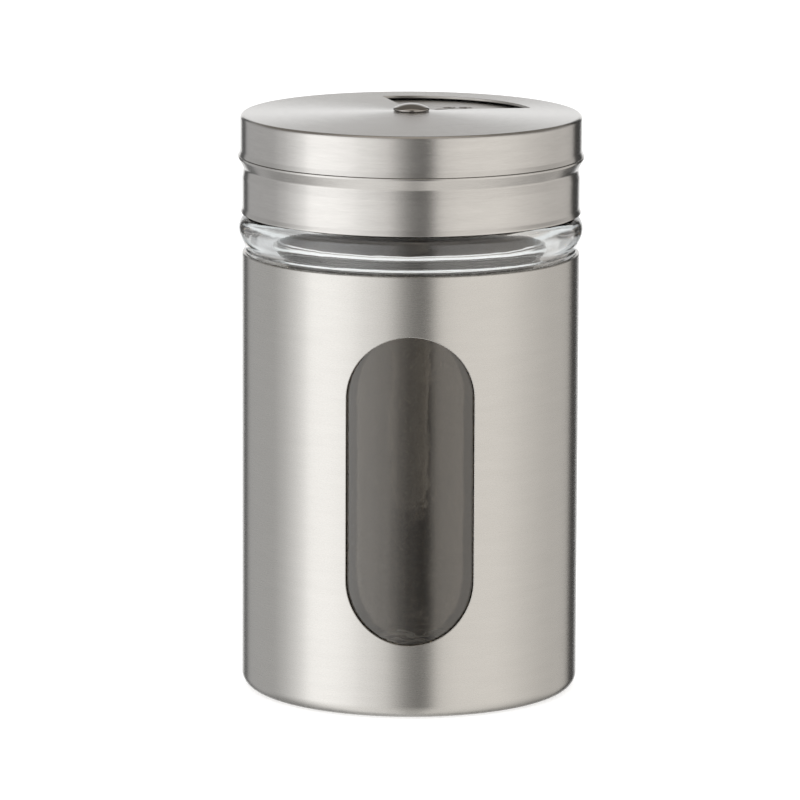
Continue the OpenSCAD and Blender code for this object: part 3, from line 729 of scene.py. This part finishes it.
steel_sleeve()
glass_jar()
thread_ring()
sifter_cap()
dial_cap()
rivet()
plain_ring("pad_foam", [(FOAM_IN, SHEET, 0.15), (FOAM_OUT, SHEET, 0.15), (FOAM_OUT, FOAM_TOP, 0.2),
                        (FOAM_IN, FOAM_TOP, 0.2)], 200, PAD_FOAM, "jar", "pad_foam", "foam_ring")
plain_ring("seal_liner", [(SEAL_IN, SEAL_Z, 0.2), (SEAL_OUT, SEAL_Z, 0.2), (SEAL_OUT, SEAL_Z + SEAL_T, 0.15),
                          (SEAL_IN, SEAL_Z + SEAL_T, 0.15)], 200, SEAL_FOAM, "lid_lift", "seal_foam", "lid_seal")
plain_ring("cone_washer", [(CONE_IN, CONE_Z + CONE_RISE, 0.03), (CONE_OUT, CONE_Z, 0.04),
                           (CONE_OUT, CONE_Z + CONE_T, 0.04), (CONE_IN, CONE_Z + CONE_RISE + CONE_T, 0.03)], SMALL,
           WASHER_STEEL, "lid", "washer_steel", "spring_washer")
plain_ring("flat_washer", [(TAIL_IN, TAIL_Z, 0.05), (TAIL_OUT, TAIL_Z, 0.08), (TAIL_OUT, PLATE_UNDER, 0.12),
                           (TAIL_IN, PLATE_UNDER, 0.05)], SMALL, WASHER_STEEL, "lid", "washer_steel", "tail_washer")


# ---------------------------------------------------------------------------------------------------------------
# Studio
# ---------------------------------------------------------------------------------------------------------------

# Level of the light round the shaker, by bearing: 0 is the camera, 90 its right and 180 the backdrop. There is a
# soft box on each side of the camera, a dark gap between them, and a dark flag at each edge of the white backdrop.
ROUND = [(-180, 1.05), (-166, 1.05), (-160, 0.12), (-152, 0.12), (-145, 0.52), (-108, 0.57), (-97, 0.74),
         (-88, 0.92), (-80, 1.12), (-72, 1.46), (-60, 1.46), (-52, 1.42), (-44, 1.33), (-30, 1.08), (-17, 0.90),
         (-11, 0.66), (-6, 0.44), (0, 0.26), (9, 0.17), (13, 0.26), (16, 0.52), (19, 0.76), (24, 0.88),
         (36, 0.96), (58, 0.97), (90, 0.84), (120, 0.71), (138, 0.64), (144, 0.08), (160, 0.06), (166, 1.05),
         (180, 1.05)]
BAND = 0.02, 0.14                              # how much brighter the soft boxes are outside and inside their band
CEILING, OVERHEAD = 0.2, 0.55                  # level of the dark belt above the boxes and of the paler ceiling
TABLE, TABLE_FAR, TABLE_NEAR = 0.5, 0.1, 0.46  # the table's share of the boxes' light, and its own glow
BACKDROP = 0.93, 0.97, 0.98, 1.0               # what the glass shows of the white backdrop
WHITE = 1.0, 1.0, 1.0, 1.0


def light_round(t, bearing):
    """Light of the soft boxes, flags and backdrop by bearing, a little warmer on the camera's right."""
    ramp = t.node("ShaderNodeValToRGB")
    ramp.color_ramp.interpolation = "EASE"
    stops = ramp.color_ramp.elements
    stops.remove(stops[-1])
    for i, (angle, level) in enumerate(ROUND):
        e = stops[0] if i == 0 else stops.new((angle + 180) / 360)
        e.position = (angle + 180) / 360
        warm = 0.5 + 0.5 * math.tanh((angle + 10) / 30.0) if abs(angle) < 150 else 0.0
        e.color = (level * (1.0 + 0.02 * warm), level * (1.0 - 0.012 * warm), level * (1.0 - 0.055 * warm), 1.0)
    t.put(ramp.inputs[0], t.math("ADD", t.math("DIVIDE", bearing, 2 * math.pi), 0.5))
    return ramp.outputs[0]


def world():
    w = bpy.data.worlds.new("studio")
    bpy.context.scene.world = w
    w.use_nodes = True
    w.cycles.sampling_method = "NONE"
    t = Tree(w.node_tree)
    t.nodes.clear()
    way = t.node("ShaderNodeVectorMath", operation="NORMALIZE")
    t.links.new(t.node("ShaderNodeTexCoord").outputs["Generated"], way.inputs[0])
    s = t.node("ShaderNodeSeparateXYZ")
    t.links.new(way.outputs[0], s.inputs[0])
    x, y, z = s.outputs                        # y points from the camera to the backdrop
    bearing = t.math("ARCTAN2", x, t.math("MULTIPLY", y, -1.0))
    towards_camera = t.math("COSINE", bearing)
    light = light_round(t, bearing)

    # In front the soft boxes are low and wide, so that they are brightest in a band a little below the horizon.
    front = t.ramp(towards_camera, -0.2, 0.25, kind="SMOOTHSTEP")
    band = t.math("MULTIPLY", t.ramp(z, -0.34, -0.30, kind="SMOOTHSTEP"),
                  t.ramp(z, -0.08, -0.03, 1.0, 0.0, "SMOOTHSTEP"))
    boxes = t.tinted(light, t.math("ADD", 1.0, t.math("MULTIPLY", front, t.ramp(band, 0.0, 1.0, *BAND))))

    # Behind, they fade a little with height, and more so on the right.
    behind = t.ramp(y, -0.3, 0.2)
    right = t.math("MULTIPLY", t.ramp(x, 0.0, 0.6, 0.0, 0.3), t.ramp(z, 0.1, 0.3))
    fade = t.math("MULTIPLY", behind, t.math("ADD", t.ramp(z, 0.04, 0.16, 0.0, 0.14), right))
    boxes = t.tinted(boxes, t.math("SUBTRACT", 1.0, fade))

    # Above the boxes lies a dark belt, which starts lower behind than in front, and over it a paler ceiling.
    over = t.math("SUBTRACT", z, t.ramp(y, -0.5, 0.2, 0.62, 0.28))
    ceiling = t.tinted((1.08, 1.0, 0.9), t.ramp(z, 0.84, 0.97, CEILING, OVERHEAD))
    above = t.mix(t.ramp(over, 0.0, 0.27, kind="SMOOTHSTEP"), boxes, ceiling)

    # The white table under them is lit by them.
    table = t.node("ShaderNodeVectorMath", operation="ADD")
    t.put(table.inputs[0], t.tinted(light, TABLE))
    t.put(table.inputs[1], t.tinted((1.0, 0.98, 0.94), t.ramp(towards_camera, -0.5, 0.1, TABLE_FAR, TABLE_NEAR)))
    around = t.mix(t.ramp(z, -0.60, -0.45, 1.0, 0.0, "SMOOTHSTEP"), above, table.outputs[0])

    # Only mirrored and refracted rays see all this. The glass shows the plain backdrop behind it near the horizon.
    path = t.node("ShaderNodeLightPath")
    mirrored = t.math("MAXIMUM", path.outputs["Is Glossy Ray"], path.outputs["Is Transmission Ray"])
    level = t.math("MULTIPLY", t.ramp(z, -0.3, -0.1), t.ramp(z, 0.05, 0.25, 1.0, 0.0))
    ahead = t.math("MULTIPLY", level, t.ramp(y, 0.1, 0.35))
    clear = t.math("MULTIPLY", path.outputs["Is Transmission Ray"], ahead)
    lit = t.mix(mirrored, WHITE, t.mix(clear, around, BACKDROP))
    background = t.node("ShaderNodeBackground")
    t.put(background.inputs["Color"], t.mix(path.outputs["Is Camera Ray"], lit, WHITE))
    t.links.new(background.outputs[0], t.node("ShaderNodeOutputWorld").inputs[0])


def floor():
    """White table, a hair below the foot. It glows a little for the camera, and mirrored rays pass through it."""
    reach, gap = 3.0, 0.00002
    me = bpy.data.meshes.new("floor")
    me.from_pydata([(-reach, -reach, 0), (reach, -reach, 0), (reach, reach, 0), (-reach, reach, 0)], [],
                   [(0, 1, 2, 3)])
    ob = bpy.data.objects.new("floor", me)
    ob.location.z = -gap
    bpy.context.scene.collection.objects.link(ob)
    m = bpy.data.materials.new("floor")
    m.use_nodes = True
    t = Tree(m.node_tree)
    t.nodes.clear()
    plain = t.node("ShaderNodeBsdfDiffuse")
    plain.inputs["Color"].default_value = (0.8, 0.8, 0.8, 1.0)
    glow = t.node("ShaderNodeEmission")
    glow.inputs["Strength"].default_value = 0.5
    both = t.node("ShaderNodeAddShader")
    t.links.new(plain.outputs[0], both.inputs[0])
    t.links.new(glow.outputs[0], both.inputs[1])
    path = t.node("ShaderNodeLightPath")
    seen = t.node("ShaderNodeMixShader")
    t.put(seen.inputs[0], path.outputs["Is Camera Ray"])
    t.links.new(plain.outputs[0], seen.inputs[1])
    t.links.new(both.outputs[0], seen.inputs[2])
    through = t.node("ShaderNodeMixShader")
    t.put(through.inputs[0], path.outputs["Is Glossy Ray"])
    t.links.new(seen.outputs[0], through.inputs[1])
    t.links.new(t.node("ShaderNodeBsdfTransparent").outputs[0], through.inputs[2])
    t.links.new(through.outputs[0], t.node("ShaderNodeOutputMaterial").inputs[0])
    me.materials.append(m)


LENS, SENSOR = 285.47, 36.0
CAMERA_AT = -0.00152, -0.93723, 0.213695       # fitted to the ellipses of the photo's outline
CAMERA_DOWN, CAMERA_ROLL = 10.303, 0.235       # degrees


def camera():
    data = bpy.data.cameras.new("camera")
    data.lens, data.sensor_width = LENS, SENSOR
    data.clip_start, data.clip_end = 0.01, 20.0
    cam = bpy.data.objects.new("camera", data)
    cam.location = CAMERA_AT
    cam.rotation_mode = "QUATERNION"
    cam.rotation_quaternion = (Matrix.Rotation(math.radians(90 - CAMERA_DOWN), 3, "X")
                               @ Matrix.Rotation(math.radians(CAMERA_ROLL), 3, "Z")).to_quaternion()
    bpy.context.scene.collection.objects.link(cam)
    bpy.context.scene.camera = cam


world()
floor()
camera()
scene = bpy.context.scene
scene.view_settings.view_transform = "Standard"
BOUNCES = 96                                   # light runs a long way inside the glass
scene.cycles.max_bounces = BOUNCES
scene.cycles.transmission_bounces = BOUNCES
scene.cycles.glossy_bounces = BOUNCES
scene.cycles.caustics_refractive = True
scene.cycles.caustics_reflective = True
